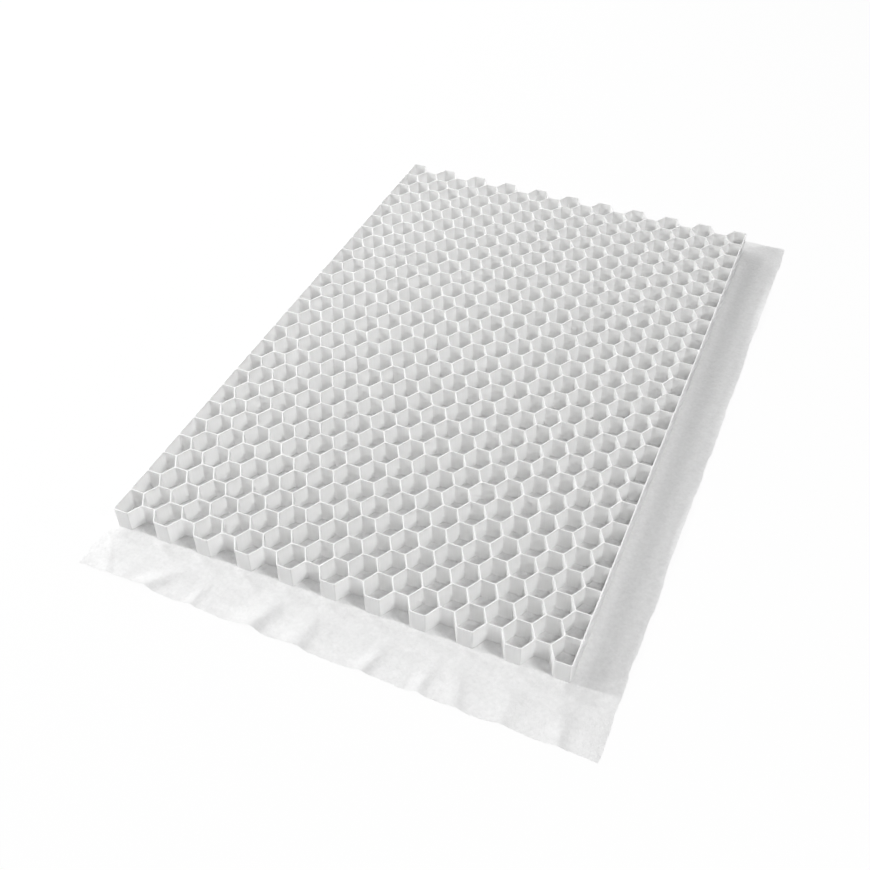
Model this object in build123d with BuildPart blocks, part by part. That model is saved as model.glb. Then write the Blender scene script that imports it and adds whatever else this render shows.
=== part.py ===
from build123d import *
import os

os.makedirs("parts", exist_ok=True)

# Honeycomb plate, in millimetres
plate_width = 780.0        # across the columns, between the outer faces of the straight side walls
plate_length = 1200.0      # along the columns, between the outer faces of the proud end walls
plate_height = 40.0
wall = 1.8
column_pairs = 10          # proud and set-back columns alternate, and a proud one closes the plate
rows = 25                  # cells in a proud column; a set-back column has one fewer
flat_wall = 24.0           # wall that lies across the plate, between its two junctions
side_margin = 3.0          # from the outermost junctions to the outer face of a side wall

# Geotextile bonded under the plate, in millimetres
cloth_thickness = 1.0
front_flap = 105.0         # what the next plates lie on, past the plate's front end
right_flap = 84.0          # and past its right side
left_overhang = 12.0
back_overhang = 34.0

# Lattice worked out from those sizes: centre lines of the walls and the junctions between them
columns = 2 * column_pairs + 1
last_column = columns - 1
column_pitch = (plate_width - flat_wall - 2 * side_margin) / last_column
row_pitch = (plate_length - wall) / rows
slant_run = column_pitch - flat_wall
half_row = row_pitch / 2
half_flat = flat_wall / 2
side_line = plate_width / 2 - wall / 2
end_line = plate_length / 2 - wall / 2
side_reach = side_line - column_pitch * column_pairs


def column_x(index):
    """Middle of a column, counted from the left side."""
    return (index - column_pairs) * column_pitch


def column_cells(index):
    """Middles of the cells in a column, from the front to the back."""
    count = rows - index % 2
    return [(column_x(index), (row - (count - 1) / 2) * row_pitch) for row in range(count)]


# Inside of a cell: a hexagon with two walls across the plate, drawn out along the plate
with BuildSketch() as cell:
    with BuildLine():
        Polyline(
            (half_flat, half_row),
            (-half_flat, half_row),
            (-half_flat - slant_run, 0),
            (-half_flat, -half_row),
            (half_flat, -half_row),
            (half_flat + slant_run, 0),
            close=True,
        )
    make_face()
    offset(amount=-wall / 2, kind=Kind.INTERSECTION, mode=Mode.REPLACE)

# Inside of a cell at the left side, where a straight wall cuts off the hexagon's outer point
with BuildSketch() as side_cell:
    with BuildLine():
        Polyline(
            (half_flat, half_row),
            (-side_reach, half_row),
            (-side_reach, -half_row),
            (half_flat, -half_row),
            (half_flat + slant_run, 0),
            close=True,
        )
    make_face()
    offset(amount=-wall / 2, kind=Kind.INTERSECTION, mode=Mode.REPLACE)

# Outline of the plate: its ends step in and out with the columns, and its sides are straight
back_end = []
for index in range(columns):
    end_y = end_line - half_row * (index % 2)
    left_x = column_x(index) - (half_flat if index > 0 else side_reach)
    right_x = column_x(index) + (half_flat if index < last_column else side_reach)
    back_end += [(left_x, end_y), (right_x, end_y)]
front_end = [(-x, -y) for x, y in back_end]
with BuildSketch() as outline:
    with BuildLine():
        Polyline(*back_end, *front_end, close=True)
    make_face()
    offset(amount=wall / 2, kind=Kind.INTERSECTION, mode=Mode.REPLACE)

# The plate in three lengthwise bands, which meet halfway along the flat walls of two columns
left_seam = columns // 3
right_seam = last_column - left_seam
bands = {
    "honeycomb_left": (0, left_seam),
    "honeycomb_middle": (left_seam, right_seam),
    "honeycomb_right": (right_seam, last_column),
}
for name, (first, last) in bands.items():
    low_x = column_x(first) if first > 0 else -plate_width / 2
    high_x = column_x(last) if last < last_column else plate_width / 2
    inner_columns = range(max(first, 1), min(last, last_column - 1) + 1)
    with BuildPart() as band:
        with BuildSketch(Plane.XY.offset(cloth_thickness)):
            add(outline.sketch)
            with Locations(((low_x + high_x) / 2, 0)):
                Rectangle(high_x - low_x, plate_length, mode=Mode.INTERSECT)
            with Locations(*[place for index in inner_columns for place in column_cells(index)]):
                add(cell.sketch, mode=Mode.SUBTRACT)
            if first == 0:
                with Locations(*column_cells(first)):
                    add(side_cell.sketch, mode=Mode.SUBTRACT)
            if last == last_column:
                with Locations(*column_cells(last)):
                    add(side_cell.sketch, rotation=180, mode=Mode.SUBTRACT)
        extrude(amount=plate_height, clean=False)
    band.part.label = name
    export_step(band.part, f"parts/{name}.step")

# Geotextile: one sheet with a narrow margin at the left and the back, and a flap at the front and the right
with BuildPart() as geotextile:
    with BuildSketch():
        with Locations((-plate_width / 2 - left_overhang, -plate_length / 2 - front_flap)):
            Rectangle(
                left_overhang + plate_width + right_flap,
                front_flap + plate_length + back_overhang,
                align=(Align.MIN, Align.MIN),
            )
    extrude(amount=cloth_thickness)
geotextile.part.label = "geotextile"
export_step(geotextile.part, "parts/geotextile.step")
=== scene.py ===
"""Gravel grid: a white honeycomb plate bonded to a non-woven geotextile with two overlap flaps."""

from functools import partial
from math import cos, pi, radians, sin
from typing import NamedTuple

import bpy
import numpy as np
from bpy.props import FloatProperty, FloatVectorProperty, IntProperty, PointerProperty
from bpy.types import Operator, Panel, PropertyGroup
from mathutils import Matrix, Vector, noise


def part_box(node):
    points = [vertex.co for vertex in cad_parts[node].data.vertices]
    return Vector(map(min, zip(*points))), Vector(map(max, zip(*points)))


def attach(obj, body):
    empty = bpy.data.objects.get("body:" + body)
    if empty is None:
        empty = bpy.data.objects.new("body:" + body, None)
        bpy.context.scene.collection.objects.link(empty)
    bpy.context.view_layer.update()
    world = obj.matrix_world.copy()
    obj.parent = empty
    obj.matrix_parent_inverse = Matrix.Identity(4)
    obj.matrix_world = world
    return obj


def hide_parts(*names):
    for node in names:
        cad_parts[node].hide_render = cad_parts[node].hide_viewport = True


bl_info = {
    "name": "Gravel Grid",
    "version": (1, 0, 0),
    "blender": (4, 5, 0),
    "location": "View3D > Sidebar > Gravel Grid",
    "description": "Builds a honeycomb gravel grid with its geotextile, and a plain studio around it",
    "category": "Add Mesh",
}

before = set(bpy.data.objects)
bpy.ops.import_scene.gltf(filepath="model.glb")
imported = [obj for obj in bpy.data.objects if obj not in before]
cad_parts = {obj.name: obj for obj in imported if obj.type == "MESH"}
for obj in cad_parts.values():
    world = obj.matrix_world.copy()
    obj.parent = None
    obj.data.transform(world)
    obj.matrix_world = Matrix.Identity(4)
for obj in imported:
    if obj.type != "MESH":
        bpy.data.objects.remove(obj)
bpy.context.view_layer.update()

MILLIMETRE = 0.001
PLATE_BANDS = ("honeycomb_left", "honeycomb_middle", "honeycomb_right")
PLATE_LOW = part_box("honeycomb_left")[0]
PLATE_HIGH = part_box("honeycomb_right")[1]
CLOTH_LOW, CLOTH_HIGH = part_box("geotextile")


class Wire:
    """A node's output socket: sums of wires and plain numbers add Math nodes to its tree."""

    def __init__(self, socket):
        self.socket = socket

    @staticmethod
    def node(tree, kind, settings=None, sockets=None, output=0):
        """Adds any node: first its settings, then the values or links of its sockets; gives one output."""
        node = tree.nodes.new(kind)
        for name, value in (settings or {}).items():
            setattr(node, name, value)
        for name, value in (sockets or {}).items():
            socket = Wire.find(node.inputs, name)
            for item in value if isinstance(value, list) else [value]:
                if isinstance(item, Wire):
                    tree.links.new(item.socket, socket)
                else:
                    socket.default_value = item
        return Wire(Wire.find(node.outputs, output)) if len(node.outputs) else node

    @staticmethod
    def find(sockets, name):
        """A socket by its number, or the one in use of the sockets with that name."""
        if isinstance(name, int):
            return sockets[name]
        return next(socket for socket in sockets if socket.name == name and socket.enabled)

    def math(self, operation, *values):
        """A Math node on this wire and further values."""
        sockets = dict(enumerate((self, *values)))
        return Wire.node(self.socket.id_data, "ShaderNodeMath", {"operation": operation}, sockets)

    def reflected(self, operation, value):
        """A Math node with this wire as its second value."""
        return Wire.node(self.socket.id_data, "ShaderNodeMath", {"operation": operation}, {0: value, 1: self})

    def __add__(self, other):
        return self.math("ADD", other)

    def __radd__(self, other):
        return self.reflected("ADD", other)

    def __sub__(self, other):
        return self.math("SUBTRACT", other)

    def __rsub__(self, other):
        return self.reflected("SUBTRACT", other)

    def __mul__(self, other):
        return self.math("MULTIPLY", other)

    def __rmul__(self, other):
        return self.reflected("MULTIPLY", other)

    def __truediv__(self, other):
        return self.math("DIVIDE", other)

    def __mod__(self, other):
        return self.math("FLOORED_MODULO", other)

    def __neg__(self):
        return self.math("MULTIPLY", -1)

    def __gt__(self, other):
        return self.math("GREATER_THAN", other)

    def __lt__(self, other):
        return self.math("LESS_THAN", other)


class HoneycombSettings(PropertyGroup):
    """Sizes and colour of the honeycomb plate."""

    column_pairs: IntProperty(
        name="Column pairs", description="Proud columns, each with the set-back one beside it", default=10, min=2)
    rows: IntProperty(
        name="Rows", description="Cells along a proud column", default=25, min=3)
    flat_wall: FloatProperty(
        name="Flat wall", description="Length of a wall that lies across the plate",
        default=24 * MILLIMETRE, unit="LENGTH")
    wall: FloatProperty(
        name="Wall", description="Thickness of the walls", default=1.8 * MILLIMETRE, unit="LENGTH")
    side_margin: FloatProperty(
        name="Side margin", description="From the outermost junctions to the outer face of a side wall",
        default=3 * MILLIMETRE, unit="LENGTH")
    corner_radius: FloatProperty(
        name="Corner radius", description="Rounding inside the corners of the cells",
        default=3.2 * MILLIMETRE, unit="LENGTH")
    corner_points: IntProperty(
        name="Corner points", description="Points added along a rounded corner", default=3, min=1)
    rim_flare: FloatProperty(
        name="Rim flare", description="How far each face of a wall leans out at the top rim",
        default=0.15 * MILLIMETRE, unit="LENGTH")
    flare_height: FloatProperty(
        name="Flare height", description="Height of the flared part of the walls",
        default=1.4 * MILLIMETRE, unit="LENGTH")
    rim_round: FloatProperty(
        name="Rim rounding", description="Rounding along the top rim",
        default=0.4 * MILLIMETRE, unit="LENGTH")
    # Half the width of the painted shade strip down the outer corners of the plate's ends, standing in for a
    # crease's shadow
    crease: FloatProperty(
        name="Crease", description="Half the width of the crease at the outer corners of the plate's ends",
        default=1.3 * MILLIMETRE, unit="LENGTH")
    plastic: FloatVectorProperty(
        name="Plastic", description="Colour of the polypropylene", default=(0.92, 0.92, 0.915),
        subtype="COLOR", size=3, min=0, max=1)


class GeotextileSettings(PropertyGroup):
    """Sizes and colour of the sheet under the plate."""

    step: FloatProperty(
        name="Mesh step", description="Spacing of the points in the flaps", default=4 * MILLIMETRE, unit="LENGTH")
    front_taper: FloatProperty(
        name="Front taper", description="How much shorter the front flap is at its left end",
        default=16 * MILLIMETRE, unit="LENGTH")
    right_taper: FloatProperty(
        name="Right taper", description="How much narrower the right flap is at its front end",
        default=11 * MILLIMETRE, unit="LENGTH")
    edge_wave: FloatProperty(
        name="Edge wave", description="How far the cut edges wander", default=3 * MILLIMETRE, unit="LENGTH")
    edge_thinning: FloatProperty(
        name="Edge thinning", description="Share of the thickness that is left at the cut edges",
        default=0.3, subtype="FACTOR", min=0.1, max=1)
    wrinkle: FloatProperty(
        name="Wrinkle height", description="Height of the broad wrinkles in the flaps",
        default=1.2 * MILLIMETRE, unit="LENGTH")
    pucker: FloatProperty(
        name="Pucker height", description="Height of the small puckers beside the plate's front end",
        default=0.35 * MILLIMETRE, unit="LENGTH")
    cloth: FloatVectorProperty(
        name="Cloth", description="Colour of the non-woven cloth", default=(0.9, 0.9, 0.9),
        subtype="COLOR", size=3, min=0, max=1)
    seed: IntProperty(
        name="Seed", description="Start of the random wrinkles", default=4)


class StageSettings(PropertyGroup):
    """Floor, light and camera."""

    floor: FloatVectorProperty(
        name="Floor", description="Colour of the floor", default=(0.93, 0.93, 0.93),
        subtype="COLOR", size=3, min=0, max=1)
    fill: FloatProperty(
        name="Fill", description="Brightness of the even light all round", default=0.02)
    lamps: FloatProperty(
        name="Lamps", description="Brightness of all the lamps together", default=1)
    lamp_distance: FloatProperty(
        name="Lamp distance", description="From the plate to each softbox", default=4, unit="LENGTH")
    camera: FloatVectorProperty(
        name="Camera", description="Where the camera stands", default=(0.5716, -1.4835, 1.3256),
        subtype="TRANSLATION", unit="LENGTH", size=3)
    heading: FloatProperty(
        name="Heading", description="Turn of the camera to the right of the front",
        default=radians(23.793), subtype="ANGLE")
    dip: FloatProperty(
        name="Dip", description="How far the camera looks down", default=radians(43.340), subtype="ANGLE")
    roll: FloatProperty(
        name="Roll", description="Turn of the camera about its line of sight",
        default=radians(-0.665), subtype="ANGLE")
    lens: FloatProperty(
        name="Lens", description="Focal length in millimetres on a 36 mm sensor", default=44.765, unit="CAMERA")


def new_object(name, mesh):
    """An object at the origin, in the scene, with that mesh."""
    piece = bpy.data.objects.new(name, mesh)
    bpy.context.scene.collection.objects.link(piece)
    return piece


def new_material(name):
    """A material with an empty node tree, and the tree."""
    material = bpy.data.materials.new(name)
    material.use_nodes = True
    material.node_tree.nodes.clear()
    return material, material.node_tree


def finished_mesh(piece):
    """The piece's mesh with its modifiers carried out; they are removed from the piece."""
    depsgraph = bpy.context.evaluated_depsgraph_get()
    mesh = bpy.data.meshes.new_from_object(piece.evaluated_get(depsgraph), depsgraph=depsgraph)
    mesh.name = piece.name
    piece.modifiers.clear()
    piece.data = mesh
    return mesh


def column_pitch(settings):
    """From the middle of one column of cells to the next."""
    width = PLATE_HIGH.x - PLATE_LOW.x - settings.flat_wall - 2 * settings.side_margin
    return width / (2 * settings.column_pairs)


# Die lines: how many to a metre across and along, and how much they change upwards
DIE_LINES = (420, 420, 14)
DIE_LINE_DEPTH = 0.2 * MILLIMETRE
PLASTIC_IOR = 1.49
# How far light spreads inside the walls
LIGHT_DEPTH = 1.6 * MILLIMETRE


def plastic_material(settings):
    """White moulded polypropylene: soft gloss, faint upright die lines, light through the walls, and painted
    shade:
    a darker strip down the outer corners of the plate's ends, in place of the shadow in a crease there."""
    material, tree = new_material("honeycomb_plastic")
    node = partial(Wire.node, tree)
    place = node("ShaderNodeTexCoord", output="Object")
    upright = node("ShaderNodeMapping", sockets={"Vector": place, "Scale": DIE_LINES})
    die_lines = node("ShaderNodeTexNoise", sockets={"Vector": upright, "Scale": 1, "Detail": 4, "Roughness": 0.7})
    clouds = node("ShaderNodeTexNoise", sockets={"Vector": place, "Scale": 35, "Detail": 4})
    across = node("ShaderNodeSeparateXYZ", sockets={0: place}, output="X")
    along = node("ShaderNodeSeparateXYZ", sockets={0: place}, output="Y")
    repeat = 2 * column_pitch(settings)
    # Painted shade: the colour darkens in a narrow strip down each outer corner at the plate's ends, in place of
    # the shadow in a crease there
    from_column = ((across + repeat / 2) % repeat - repeat / 2).math("ABSOLUTE")
    from_corner = (from_column - settings.flat_wall / 2).math("ABSOLUTE")
    at_end = along.math("ABSOLUTE") > PLATE_HIGH.y - 2 * settings.wall
    crease = at_end * (1 - from_corner / settings.crease).math("MAXIMUM", 0)
    shade = (0.92 + 0.045 * clouds + 0.11 * die_lines) * (1 - 0.12 * crease)
    tint = node("ShaderNodeVectorMath", {"operation": "SCALE"}, {0: tuple(settings.plastic), "Scale": shade})
    rough = 0.5 + 0.16 * clouds
    relief = node("ShaderNodeBump", sockets={
        "Strength": 0.25, "Distance": DIE_LINE_DEPTH, "Height": die_lines})
    surface = node("ShaderNodeBsdfPrincipled", sockets={
        "Base Color": tint, "Roughness": rough, "Normal": relief, "IOR": PLASTIC_IOR,
        "Subsurface Weight": 1.0, "Subsurface Scale": LIGHT_DEPTH, "Subsurface Radius": (1.0, 1.0, 1.0)})
    node("ShaderNodeOutputMaterial", sockets={"Surface": surface})
    return material


# Cloth: turns of the layers of fibres, how many fibres to a metre along and across, and the depth of the relief
FIBRE_TURNS = (20, 75, 135)
FIBRES = (300, 2600, 300)
CLOTH_RELIEF = 0.6 * MILLIMETRE
CLOTH_IOR = 1.45


def cloth_material(settings):
    """Non-woven cloth: fibres in every direction, cloudy thickness and the dimples where the fibres are fused."""
    material, tree = new_material("nonwoven_cloth")
    node = partial(Wire.node, tree)
    place = node("ShaderNodeTexCoord", output="Object")
    fibres = 0
    for turn in FIBRE_TURNS:
        along = node("ShaderNodeMapping", sockets={
            "Vector": place, "Rotation": (0, 0, radians(turn)), "Scale": FIBRES})
        layer = node("ShaderNodeTexNoise", sockets={"Vector": along, "Scale": 1, "Detail": 2})
        fibres = fibres + layer / len(FIBRE_TURNS)
    clouds = node("ShaderNodeTexNoise", sockets={"Vector": place, "Scale": 70, "Detail": 5, "Roughness": 0.6})
    fused = node("ShaderNodeTexVoronoi", sockets={"Vector": place, "Scale": 420, "Randomness": 0.35})
    mottle = node("ShaderNodeTexNoise", sockets={"Vector": place, "Scale": 170, "Detail": 3, "Roughness": 0.65})
    shade = 0.78 + 0.12 * clouds + 0.22 * mottle + 0.1 * fibres
    tint = node("ShaderNodeVectorMath", {"operation": "SCALE"}, {0: tuple(settings.cloth), "Scale": shade})
    height = fibres + 0.5 * fused + 2.5 * clouds + 1.5 * mottle
    relief = node("ShaderNodeBump", sockets={"Strength": 0.8, "Distance": CLOTH_RELIEF, "Height": height})
    surface = node("ShaderNodeBsdfPrincipled", sockets={
        "Base Color": tint, "Roughness": 0.85 - 0.1 * clouds, "Normal": relief,
        "IOR": CLOTH_IOR, "Sheen Weight": 0.15, "Sheen Roughness": 0.5})
    node("ShaderNodeOutputMaterial", sockets={"Surface": surface})
    return material


ROUNDED_EDGES = "bevel_weight_edge"
RIM_SEGMENTS = 2
MERGE_DISTANCE = 1e-6
# Faces that meet at more than this many radians form an edge
EDGE_BEND = 1
HONEYCOMB_INPUTS = {
    "Column pairs": "NodeSocketInt",
    "Rows": "NodeSocketInt",
    "Column pitch": "NodeSocketFloat",
    "Row pitch": "NodeSocketFloat",
    "Flat wall": "NodeSocketFloat",
    "Wall": "NodeSocketFloat",
    "Side line": "NodeSocketFloat",
    "End line": "NodeSocketFloat",
    "Corner radius": "NodeSocketFloat",
    "Corner points": "NodeSocketInt",
    "Base": "NodeSocketFloat",
    "Height": "NodeSocketFloat",
    "Rim flare": "NodeSocketFloat",
    "Flare height": "NodeSocketFloat",
    "Plastic": "NodeSocketMaterial",
}


def honeycomb_tree():
    """Geometry Nodes that draw the plate's outline and its cells, fill between them and raise the walls."""
    tree = bpy.data.node_groups.new("honeycomb_plate", "GeometryNodeTree")
    tree.is_modifier = True
    for name, kind in HONEYCOMB_INPUTS.items():
        tree.interface.new_socket(name, in_out="INPUT", socket_type=kind)
    tree.interface.new_socket("Plate", in_out="OUTPUT", socket_type="NodeSocketGeometry")
    node = partial(Wire.node, tree)
    group_input = tree.nodes.new("NodeGroupInput")
    size = {name: Wire(group_input.outputs[name]) for name in HONEYCOMB_INPUTS}
    index = node("GeometryNodeInputIndex")

    # Centre lines of the walls, and the corners that half a wall inside and outside of them gives
    pairs, rows = size["Column pairs"], size["Rows"]
    pitch, row_pitch = size["Column pitch"], size["Row pitch"]
    half_wall = size["Wall"] / 2
    half_row = row_pitch / 2
    half_flat = size["Flat wall"] / 2
    slant_run = pitch - size["Flat wall"]
    slant = (slant_run * slant_run + half_row * half_row).math("SQRT")
    slant_inset = half_wall * slant / half_row
    slant_per_wall = slant_run * half_wall / half_row
    inner_y = half_row - half_wall
    inner_x = half_flat + slant_per_wall - slant_inset
    inner_point = half_flat + slant_run - slant_inset
    outer_x = half_flat - slant_per_wall + slant_inset
    side_face = size["Side line"] + half_wall
    side_inner = size["Side line"] - pitch * pairs - half_wall

    def point(x, y):
        return node("ShaderNodeCombineXYZ", sockets={"X": x, "Y": y})

    def ring(count, position, radius):
        """A closed line through points, with its corners rounded."""
        points = node("GeometryNodePoints", sockets={"Count": count, "Position": position})
        line = node("GeometryNodePointsToCurves", sockets={"Points": points})
        closed = node("GeometryNodeSetSplineCyclic", sockets={"Geometry": line, "Cyclic": True})
        return node("GeometryNodeFilletCurve", {"mode": "POLY"}, {
            "Curve": closed, "Radius": radius, "Count": size["Corner points"], "Limit Radius": True})

    def corner_ring(corners):
        """A closed line through a few given corners."""
        choice = tree.nodes.new("GeometryNodeIndexSwitch")
        choice.data_type = "VECTOR"
        while len(choice.index_switch_items) < len(corners):
            choice.index_switch_items.new()
        tree.links.new(index.socket, choice.inputs["Index"])
        for number, corner in enumerate(corners):
            tree.links.new(corner.socket, choice.inputs[str(number)])
        return ring(len(corners), Wire(choice.outputs[0]), size["Corner radius"])

    def cells(cell, columns, spacing, count, rotation=(0, 0, 0)):
        """Copies of a cell in evenly spaced columns about the middle of the plate."""
        middles = node("GeometryNodeMeshGrid", sockets={
            "Size X": spacing * (columns - 1), "Size Y": row_pitch * (count - 1),
            "Vertices X": columns, "Vertices Y": count})
        return node("GeometryNodeInstanceOnPoints", sockets={
            "Points": middles, "Instance": cell, "Rotation": rotation})

    hexagon = corner_ring([
        point(inner_x, inner_y),
        point(-inner_x, inner_y),
        point(-inner_point, 0),
        point(-inner_x, -inner_y),
        point(inner_x, -inner_y),
        point(inner_point, 0),
    ])
    side_cell = corner_ring([
        point(inner_x, inner_y),
        point(-side_inner, inner_y),
        point(-side_inner, -inner_y),
        point(inner_x, -inner_y),
        point(inner_point, 0),
    ])
    across = node("ShaderNodeSeparateXYZ", sockets={0: node("GeometryNodeInputPosition")}, output="X")
    half_turn = node("ShaderNodeCombineXYZ", sockets={"Z": (across > 0) * pi})
    proud_cells = cells(hexagon, pairs - 1, pitch * 2, rows)
    set_back_cells = cells(hexagon, pairs, pitch * 2, rows - 1)
    side_cells = cells(side_cell, 2, pitch * pairs * 2, rows, half_turn)

    # Outline: two corners for each column end, along the back and then, turned half round, along the front
    columns = pairs * 2 + 1
    half_count = columns * 2
    number = index % half_count
    column = (number / 2).math("FLOOR")
    hand = number % 2 * 2 - 1
    set_back = column % 2
    corner_x = (column - pairs) * pitch + hand * (outer_x + set_back * (inner_x - outer_x))
    on_side = (number < 0.5) + (number > half_count - 1.5)
    outline_x = corner_x + on_side * (hand * side_face - corner_x)
    outline_y = size["End line"] + half_wall - set_back * half_row
    turned = 1 - 2 * (index / half_count).math("FLOOR")
    outer_radius = size["Corner radius"] + size["Wall"]
    outline = ring(half_count * 2, point(outline_x * turned, outline_y * turned), outer_radius)

    drawing = node("GeometryNodeJoinGeometry", sockets={
        "Geometry": [outline, proud_cells, set_back_cells, side_cells]})
    flat = node("GeometryNodeFillCurve", {"mode": "NGONS"}, {
        "Curve": node("GeometryNodeRealizeInstances", sockets={"Geometry": drawing})})
    underside = node("GeometryNodeFlipFaces", sockets={"Mesh": flat})
    raised = node("GeometryNodeExtrudeMesh", {"mode": "FACES"}, {
        "Mesh": flat, "Offset": (0, 0, 1), "Offset Scale": size["Height"] - size["Flare height"],
        "Individual": False})
    rim = node("GeometryNodeExtrudeMesh", {"mode": "FACES"}, {
        "Mesh": raised, "Selection": Wire(raised.socket.node.outputs["Top"]), "Offset": (0, 0, 1),
        "Offset Scale": size["Flare height"], "Individual": False})
    walls = node("GeometryNodeJoinGeometry", sockets={"Geometry": [rim, underside]})
    closed = node("GeometryNodeMergeByDistance", sockets={"Geometry": walls, "Distance": MERGE_DISTANCE})

    # The walls lean out a little at the top rim, the rim's edges are marked for rounding and the foot stays sharp
    height_here = node("ShaderNodeSeparateXYZ", sockets={0: node("GeometryNodeInputPosition")}, output="Z")
    at_rim = height_here > size["Height"] - size["Flare height"] / 2
    level = node("ShaderNodeVectorMath", {"operation": "MULTIPLY"}, {
        0: node("GeometryNodeInputNormal"), 1: (1, 1, 0)})
    outward = node("ShaderNodeVectorMath", {"operation": "NORMALIZE"}, {0: level})
    flared = node("GeometryNodeSetPosition", sockets={
        "Geometry": closed, "Selection": at_rim,
        "Offset": node("ShaderNodeVectorMath", {"operation": "SCALE"}, {0: outward, "Scale": size["Rim flare"]})})
    bent = node("GeometryNodeInputMeshEdgeAngle", output="Unsigned Angle") > EDGE_BEND
    marked = node("GeometryNodeStoreNamedAttribute", {"data_type": "FLOAT", "domain": "EDGE"}, {
        "Geometry": flared, "Name": ROUNDED_EDGES, "Value": at_rim * bent})
    smooth = node("GeometryNodeSetShadeSmooth", sockets={"Geometry": marked})
    sharp_foot = node("GeometryNodeSetShadeSmooth", {"domain": "EDGE"}, {
        "Geometry": smooth, "Selection": (1 - at_rim) * bent, "Shade Smooth": False})
    lifted = node("GeometryNodeTransform", sockets={
        "Geometry": sharp_foot, "Translation": node("ShaderNodeCombineXYZ", sockets={"Z": size["Base"]})})
    plate = node("GeometryNodeRealizeInstances", sockets={"Geometry": lifted})
    finished = node("GeometryNodeSetMaterial", sockets={"Geometry": plate, "Material": size["Plastic"]})
    node("NodeGroupOutput", sockets={"Plate": finished})
    return tree


class BuildHoneycomb(Operator):
    """Build the honeycomb plate, one moulded piece with open cells"""

    bl_idname = "gravel_grid.build_honeycomb"
    bl_label = "Honeycomb plate"

    def execute(self, context):
        settings = context.scene.gravel_grid_honeycomb
        sizes = {
            "Column pairs": settings.column_pairs,
            "Rows": settings.rows,
            "Column pitch": column_pitch(settings),
            "Row pitch": (PLATE_HIGH.y - PLATE_LOW.y - settings.wall) / settings.rows,
            "Flat wall": settings.flat_wall,
            "Wall": settings.wall,
            "Side line": PLATE_HIGH.x - settings.wall / 2,
            "End line": PLATE_HIGH.y - settings.wall / 2,
            "Corner radius": settings.corner_radius,
            "Corner points": settings.corner_points,
            "Base": PLATE_LOW.z,
            "Height": PLATE_HIGH.z - PLATE_LOW.z,
            "Rim flare": settings.rim_flare,
            "Flare height": settings.flare_height,
            "Plastic": plastic_material(settings),
        }
        plate = new_object("honeycomb_plate", bpy.data.meshes.new("honeycomb_plate"))
        lattice = plate.modifiers.new("Lattice", "NODES")
        lattice.node_group = honeycomb_tree()
        for socket in lattice.node_group.interface.items_tree:
            if socket.in_out == "INPUT":
                lattice[socket.identifier] = sizes[socket.name]
        rims = plate.modifiers.new("Rims", "BEVEL")
        rims.width = settings.rim_round
        rims.segments = RIM_SEGMENTS
        rims.limit_method = "WEIGHT"
        plate.modifiers.new("Flat faces", "WEIGHTED_NORMAL").keep_sharp = True
        mesh = finished_mesh(plate)
        if not mesh.polygons:
            raise RuntimeError("the honeycomb tree made no faces")
        mesh.attributes.remove(mesh.attributes[ROUNDED_EDGES])
        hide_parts(*PLATE_BANDS)
        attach(plate, "root")
        return {"FINISHED"}


def smoothstep(values):
    """0 below 0, 1 above 1 and a soft rise between."""
    share = np.clip(values, 0, 1)
    return share * share * (3 - 2 * share)


def wander(x, y, size, seed):
    """Smooth random field between about -1 and 1, with bumps of that size."""
    x, y = np.broadcast_arrays(x, y)
    flat = [noise.noise(Vector((a / size, b / size, seed))) for a, b in zip(x.ravel(), y.ravel())]
    return np.array(flat).reshape(x.shape)


def spaced(stops, steps):
    """Values from stop to stop, each stretch in even steps of about the given length."""
    parts = [np.linspace(low, high, max(2, round((high - low) / step)), endpoint=False)
             for low, high, step in zip(stops, stops[1:], steps)]
    return np.append(np.concatenate(parts), stops[-1])


class Fold(NamedTuple):
    """A fold across the front flap, in millimetres: where along the plate it starts and where along the cut edge
    it ends, its height there, and how wide its slopes to the left and to the right are."""

    at_plate: float
    at_edge: float
    height: float
    left: float
    right: float

    def rise(self, x, out):
        """Height of the fold at places along the front, a share of the way out to the cut edge."""
        across = x / MILLIMETRE - self.at_plate - (self.at_edge - self.at_plate) * out
        slope = np.where(across < 0, self.left, self.right)
        return self.height * MILLIMETRE * smoothstep(1.3 * out - 0.15) * np.exp(-(across / slope) ** 2)


class Curl(NamedTuple):
    """A stretch of the right flap whose cut edge lifts, in millimetres: its middle, its reach and its height."""

    middle: float
    reach: float
    height: float

    def rise(self, y, out):
        """Height of the curl at places along the side, a share of the way out to the cut edge."""
        along = (y / MILLIMETRE - self.middle) / self.reach
        return self.height * MILLIMETRE * smoothstep((out - 0.66) / 0.4) * np.exp(-along ** 2)


FRONT_FOLDS = (
    Fold(-395, -345, 3.0, 16, 6),
    Fold(-300, -318, 2.5, 22, 14),
    Fold(-207, -277, 5.6, 26, 13),
    Fold(-182, -190, 2.7, 9, 6),
    Fold(-56, -84, 7.2, 26, 14),
    Fold(-3, -3, 5.8, 26, 13),
    Fold(135, 103, 4.4, 14, 10),
    Fold(200, 192, 3.9, 11, 9),
    Fold(222, 252, 3.9, 16, 12),
    Fold(330, 318, 3.0, 20, 14),
    Fold(398, 404, 3.9, 16, 13),
)
RIGHT_CURLS = (
    Curl(-530, 60, 2.0),
    Curl(-265, 110, 4.5),
    Curl(60, 70, 2.5),
    Curl(380, 95, 4.5),
)

# Under the plate the points stand wider apart than in the flaps
ACROSS_PLATE, ALONG_PLATE = 1.1, 1.8
# Lengths over which a cut edge wanders slowly, goes from cut to cut, and frays
SLOW_LENGTH, CUT_LENGTH, FRAY_LENGTH = 160 * MILLIMETRE, 50 * MILLIMETRE, 11 * MILLIMETRE
# Sizes of the wrinkles, and how far from the plate the puckers are highest
BROAD_WRINKLE, RIDGED_WRINKLE, SMALL_WRINKLE = 60 * MILLIMETRE, 35 * MILLIMETRE, 12 * MILLIMETRE
PUCKER, PUCKER_REACH = 7 * MILLIMETRE, 12 * MILLIMETRE
# A lifted edge draws the cloth in by this share of its height
DRAW_IN = 0.3
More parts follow.
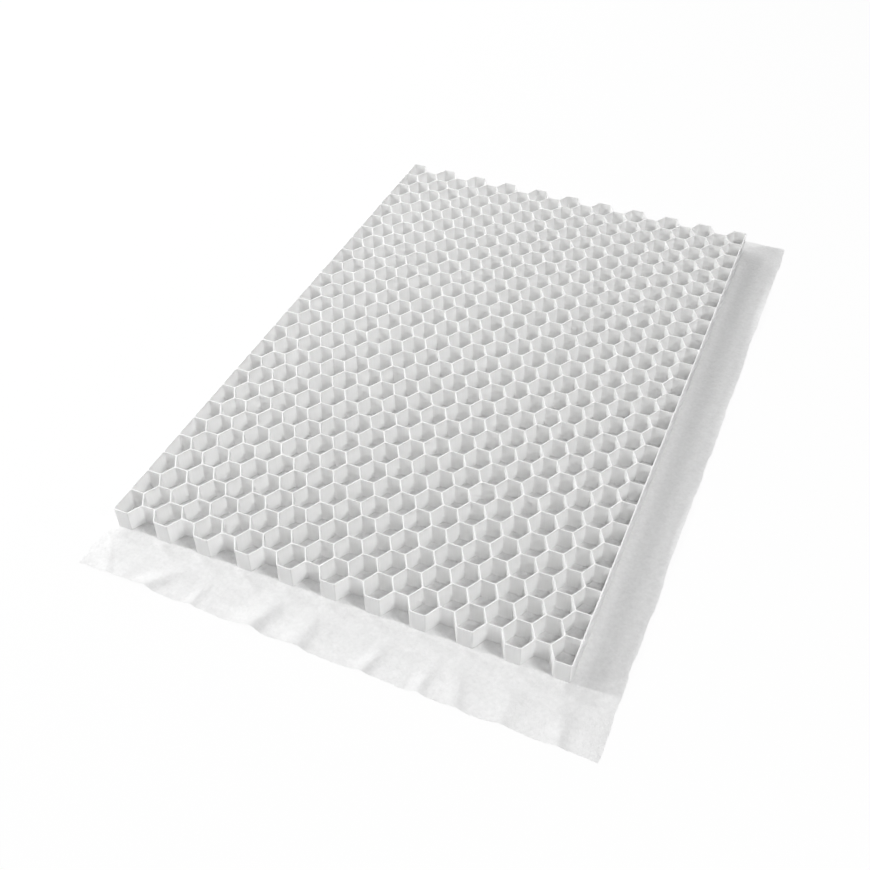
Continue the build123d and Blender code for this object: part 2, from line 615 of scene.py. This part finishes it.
# Width of the band along the cut edges in which the cloth thins
THIN_BAND = 8 * MILLIMETRE
SHARP_CLOTH = radians(50)


def around(grid):
    """Values along the border of a grid, in order from its first corner."""
    return np.concatenate([grid[0, :-1], grid[:-1, -1], grid[-1, :0:-1], grid[:0:-1, 0]])


def cloth_points(settings):
    """Plan of the sheet's points, the height of its folds and wrinkles, and its thickness."""
    step = settings.step
    columns = spaced((CLOTH_LOW.x, PLATE_LOW.x, PLATE_HIGH.x, CLOTH_HIGH.x), (step, ACROSS_PLATE * step, step))
    lines = spaced((CLOTH_LOW.y, PLATE_LOW.y, PLATE_HIGH.y, CLOTH_HIGH.y), (step, ALONG_PLATE * step, step))
    x, y = np.meshgrid(columns, lines)
    seed = settings.seed

    def edge(along, number):
        """How far a cut edge stands back from the sheet's box."""
        slow = wander(along, 0, SLOW_LENGTH, seed + number)
        cuts = np.tanh(7 * wander(along, 0, CUT_LENGTH, seed + number + 0.3))
        frayed = wander(along, 0, FRAY_LENGTH, seed + number + 0.6)
        return settings.edge_wave * (0.55 * slow + 0.3 * cuts + 0.3 * frayed)

    share_x = (x - CLOTH_LOW.x) / (CLOTH_HIGH.x - CLOTH_LOW.x)
    share_y = (y - CLOTH_LOW.y) / (CLOTH_HIGH.y - CLOTH_LOW.y)
    front = np.clip((PLATE_LOW.y - y) / (PLATE_LOW.y - CLOTH_LOW.y), 0, 1)
    back = np.clip((y - PLATE_HIGH.y) / (CLOTH_HIGH.y - PLATE_HIGH.y), 0, 1)
    left = np.clip((PLATE_LOW.x - x) / (PLATE_LOW.x - CLOTH_LOW.x), 0, 1)
    right = np.clip((x - PLATE_HIGH.x) / (CLOTH_HIGH.x - PLATE_HIGH.x), 0, 1)

    folds = sum(fold.rise(x, front) for fold in FRONT_FOLDS)
    curls = sum(curl.rise(y, right) for curl in RIGHT_CURLS)
    free = smoothstep(np.maximum(front, right) * 2.5)
    lean = x + 0.5 * y
    broad = wander(lean, 0.4 * y, BROAD_WRINKLE, seed + 1)
    ridged = 0.5 - abs(wander(lean, 0.7 * y, RIDGED_WRINKLE, seed + 2))
    small = wander(x, y, SMALL_WRINKLE, seed + 3)
    swell = broad + 0.4 * ridged + 0.16 * small
    # Hollows fade out to flat cloth, so that nothing dips below the floor
    wrinkles = settings.wrinkle * free * (swell + np.sqrt(swell ** 2 + 0.01)) / 2
    out = np.maximum(PLATE_LOW.y - y, 0) / PUCKER_REACH
    beside = out ** 2 * np.exp(2 - 2 * out)
    puckers = settings.pucker * beside * (0.5 + wander(x, 0.6 * y, PUCKER, seed + 5))
    height = wrinkles + folds + curls + np.maximum(puckers, 0)

    right_pull = edge(y, 20) + settings.right_taper * (1 - share_y) + DRAW_IN * curls
    front_pull = edge(x, 30) + settings.front_taper * (1 - share_x) ** 1.5 + DRAW_IN * folds
    plan_x = x + left * edge(y, 10) - right * right_pull
    plan_y = y - back * edge(x, 40) + front * front_pull

    inside = np.minimum.reduce([x - CLOTH_LOW.x, CLOTH_HIGH.x - x, y - CLOTH_LOW.y, CLOTH_HIGH.y - y])
    fullness = smoothstep(inside / THIN_BAND)
    thin = settings.edge_thinning
    thickness = (CLOTH_HIGH.z - CLOTH_LOW.z) * (thin + (1 - thin) * fullness)
    return plan_x, plan_y, height, thickness


class BuildGeotextile(Operator):
    """Build the non-woven sheet with its front and right flaps"""

    bl_idname = "gravel_grid.build_geotextile"
    bl_label = "Geotextile"

    def execute(self, context):
        settings = context.scene.gravel_grid_geotextile
        x, y, height, thickness = cloth_points(settings)
        under = np.stack([x, y, CLOTH_LOW.z + height], axis=-1)
        upper = np.stack([x, y, CLOTH_LOW.z + height + thickness], axis=-1)
        count = x.size
        number = np.arange(count).reshape(x.shape)
        quads = np.stack([number[:-1, :-1], number[:-1, 1:], number[1:, 1:], number[1:, :-1]], axis=-1)
        quads = quads.reshape(-1, 4)
        rim = around(number)
        after = np.roll(rim, -1)
        skirt = np.stack([rim, after, after + count, rim + count], axis=-1)
        faces = np.concatenate([quads + count, quads[:, ::-1], skirt])
        points = np.concatenate([under.reshape(-1, 3), upper.reshape(-1, 3)])
        mesh = bpy.data.meshes.new("geotextile_sheet")
        mesh.from_pydata(points.tolist(), [], faces.tolist())
        mesh.polygons.foreach_set("use_smooth", np.ones(len(faces), bool))
        mesh.set_sharp_from_angle(angle=SHARP_CLOTH)
        mesh.materials.append(cloth_material(settings))
        if mesh.validate():
            raise RuntimeError("the geotextile mesh has faulty faces")
        sheet = new_object("geotextile_sheet", mesh)
        edge_x, edge_y = around(x), around(y)
        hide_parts("geotextile")
        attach(sheet, "root")
        return {"FINISHED"}


def towards(heading, height):
    """Unit vector from the plate towards something at that heading and height."""
    return Vector((sin(heading) * cos(height), -cos(heading) * cos(height), sin(height)))


class Lamp(NamedTuple):
    """A square softbox aimed at the plate: its heading, 0 in front and -90 on the left, and its height above the
    floor, in degrees, then its power in watts and its side in metres."""

    name: str
    heading: float
    height: float
    power: float
    side: float

    def light(self, settings):
        """Adds the softbox to the scene."""
        softbox = bpy.data.lights.new(self.name, "AREA")
        softbox.shape = "SQUARE"
        softbox.size = self.side
        softbox.energy = self.power * settings.lamps
        out = towards(radians(self.heading), radians(self.height))
        holder = new_object(self.name, softbox)
        holder.location = out * settings.lamp_distance
        holder.rotation_euler = out.to_track_quat("Z", "Y").to_euler()


LAMPS = (
    Lamp("softbox_main", -76, 30, 66, 0.4),
    Lamp("softbox_left_front", -52, 25, 20, 0.25),
    Lamp("softbox_left_back_low", -135, 22, 29, 0.7),
    Lamp("softbox_left_back", -112, 42, 34, 0.7),
    Lamp("softbox_back_left", -158, 32, 20, 0.7),
    Lamp("softbox_front", 22, 42, 22, 0.7),
    Lamp("softbox_right", 67, 42, 52, 0.7),
    Lamp("softbox_back_high", 180, 65, 16, 0.7),
)
WHITE = (1, 1, 1, 1)
# Share of plain white in the floor where it is looked at; the rest keeps the shadow
FLOOR_GLOW = 0.95
FLOOR_REACH = 12.0
FLOOR_GAP = 0.2 * MILLIMETRE
SENSOR_WIDTH = 36
NEAREST_SEEN = 0.05


def looked_at(node):
    """1 where a ray comes from the camera, straight or by way of a shiny or clear surface, and 0 elsewhere."""
    rays = ("Is Camera Ray", "Is Glossy Ray", "Is Transmission Ray")
    return sum(node("ShaderNodeLightPath", output=ray) for ray in rays).math("MINIMUM", 1)


def floor_material(settings):
    """Pale floor that keeps the shadow and is lifted to white where it is looked at."""
    material, tree = new_material("studio_floor")
    node = partial(Wire.node, tree)
    paint = node("ShaderNodeBsdfDiffuse", sockets={"Color": (*settings.floor, 1)})
    glow = node("ShaderNodeEmission", sockets={"Color": WHITE, "Strength": 1})
    surface = node("ShaderNodeMixShader", sockets={0: looked_at(node) * FLOOR_GLOW, 1: paint, 2: glow})
    node("ShaderNodeOutputMaterial", sockets={"Surface": surface})
    return material


def studio_world(settings):
    """Even light all round, white where it is looked at."""
    world = bpy.data.worlds.new("studio")
    world.use_nodes = True
    world.node_tree.nodes.clear()
    node = partial(Wire.node, world.node_tree)
    strength = settings.fill + (1 - settings.fill) * looked_at(node)
    light = node("ShaderNodeBackground", sockets={"Color": WHITE, "Strength": strength})
    node("ShaderNodeOutputWorld", sockets={"Surface": light})
    return world


class BuildStage(Operator):
    """Set up the floor, the light and the camera"""

    bl_idname = "gravel_grid.build_stage"
    bl_label = "Stage"

    def execute(self, context):
        settings = context.scene.gravel_grid_stage
        corners = [(x * FLOOR_REACH, y * FLOOR_REACH, CLOTH_LOW.z - FLOOR_GAP)
                   for x, y in ((-1, -1), (1, -1), (1, 1), (-1, 1))]
        mesh = bpy.data.meshes.new("floor")
        mesh.from_pydata(corners, [], [(0, 1, 2, 3)])
        mesh.materials.append(floor_material(settings))
        new_object("floor", mesh)
        context.scene.world = studio_world(settings)

        for lamp in LAMPS:
            lamp.light(settings)

        lens = bpy.data.cameras.new("camera")
        lens.lens = settings.lens
        lens.sensor_width = SENSOR_WIDTH
        lens.clip_start = NEAREST_SEEN
        camera = new_object("camera", lens)
        out = towards(settings.heading, settings.dip)
        level = (-out).cross(Vector((0, 0, 1))).normalized()
        up = level.cross(-out)
        right = cos(settings.roll) * level + sin(settings.roll) * up
        up = cos(settings.roll) * up - sin(settings.roll) * level
        turn = Matrix((right, up, out)).transposed().to_4x4()
        camera.matrix_world = Matrix.Translation(settings.camera) @ turn
        context.scene.camera = camera
        context.scene.view_settings.view_transform = "Standard"
        return {"FINISHED"}


class GravelGridPanel(Panel):
    """Lists the pieces of the gravel grid, with their sizes"""

    bl_idname = "VIEW3D_PT_gravel_grid"
    bl_label = "Gravel Grid"
    bl_space_type = "VIEW_3D"
    bl_region_type = "UI"
    bl_category = "Gravel Grid"

    def draw(self, context):
        for operator, name in OPERATORS.items():
            box = self.layout.box()
            box.operator(operator.bl_idname)
            settings = getattr(context.scene, name)
            for size in settings.__annotations__:
                box.prop(settings, size)


SETTINGS = {
    "gravel_grid_honeycomb": HoneycombSettings,
    "gravel_grid_geotextile": GeotextileSettings,
    "gravel_grid_stage": StageSettings,
}
OPERATORS = {
    BuildHoneycomb: "gravel_grid_honeycomb",
    BuildGeotextile: "gravel_grid_geotextile",
    BuildStage: "gravel_grid_stage",
}


def register():
    for name, group in SETTINGS.items():
        bpy.utils.register_class(group)
        setattr(bpy.types.Scene, name, PointerProperty(type=group))
    for operator in (*OPERATORS, GravelGridPanel):
        bpy.utils.register_class(operator)


def unregister():
    for operator in (GravelGridPanel, *reversed(OPERATORS)):
        bpy.utils.unregister_class(operator)
    for name, group in reversed(SETTINGS.items()):
        delattr(bpy.types.Scene, name)
        bpy.utils.unregister_class(group)


def main():
    register()
    bpy.ops.gravel_grid.build_honeycomb()
    bpy.ops.gravel_grid.build_geotextile()
    bpy.ops.gravel_grid.build_stage()


if __name__ == "__main__":
    main()
